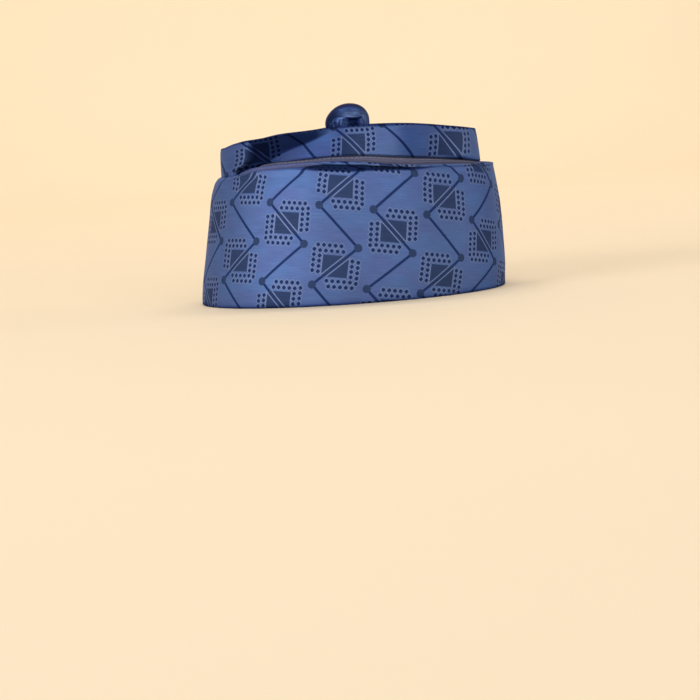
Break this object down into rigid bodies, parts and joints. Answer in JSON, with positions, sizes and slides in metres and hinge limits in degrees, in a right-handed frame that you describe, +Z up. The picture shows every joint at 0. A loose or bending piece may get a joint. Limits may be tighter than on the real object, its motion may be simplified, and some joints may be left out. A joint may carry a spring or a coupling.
{
  "type": "prayer cap",
  "caption": "Soft satin prayer cap with a tall turned-up cuff, an upright crown, a dished top panel and a covered knob; it is worn on the head and stands on its open rim.",
  "frame": {"origin": "on the floor at the middle of the cap's box, inside the rim", "axes": "+Z up, -X towards the wearer's forehead, +X towards the nape, -Y towards the wearer's left"},
  "size_m": [0.203, 0.1718, 0.1257],
  "materials": {
    "damask": "blue satin damask with a darker zigzag and dotted square pattern",
    "lining": "plain matt grey-mauve weave",
    "plain_satin": "plain dark blue satin, gathered"
  },
  "bodies": {
    "root": {"cuff": "damask", "crown_side": "damask", "crown_top": "damask", "inner_band": "lining", "knob": "plain_satin"}
  },
  "joints": []
}
